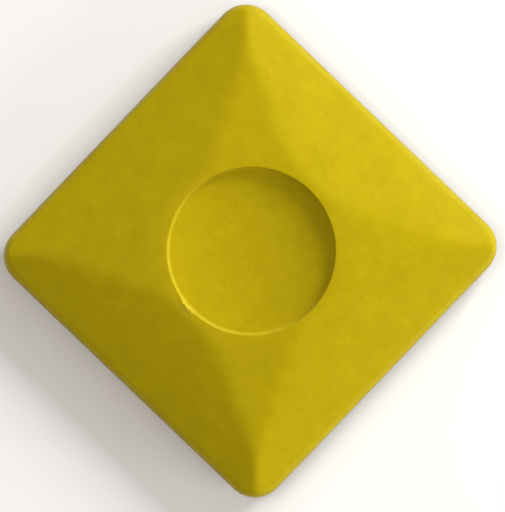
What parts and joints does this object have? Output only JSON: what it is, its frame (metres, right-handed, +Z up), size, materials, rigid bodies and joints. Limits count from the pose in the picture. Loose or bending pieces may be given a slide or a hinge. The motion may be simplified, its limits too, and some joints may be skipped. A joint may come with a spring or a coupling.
{
  "type": "raised pavement marker",
  "caption": "Square raised pavement marker: a low plastic pyramid with narrow facets on its diagonals, a round recess in the crown, a hard filled core and a slab of adhesive.",
  "frame": {"origin": "centre of the adhesive slab's underside, on the road surface", "axes": "+Z up from the road, X and Y parallel to the sides of the square"},
  "size_m": [0.1, 0.1, 0.0205],
  "materials": {
    "shell_yellow": "matte",
    "potting_grey": "matte",
    "glass_fibre": "matte",
    "butyl_black": "satin"
  },
  "bodies": {
    "root": {"marker_shell": "shell_yellow", "potting_core": "potting_grey", "glass_mat": "glass_fibre", "butyl_adhesive": "butyl_black"}
  },
  "joints": []
}
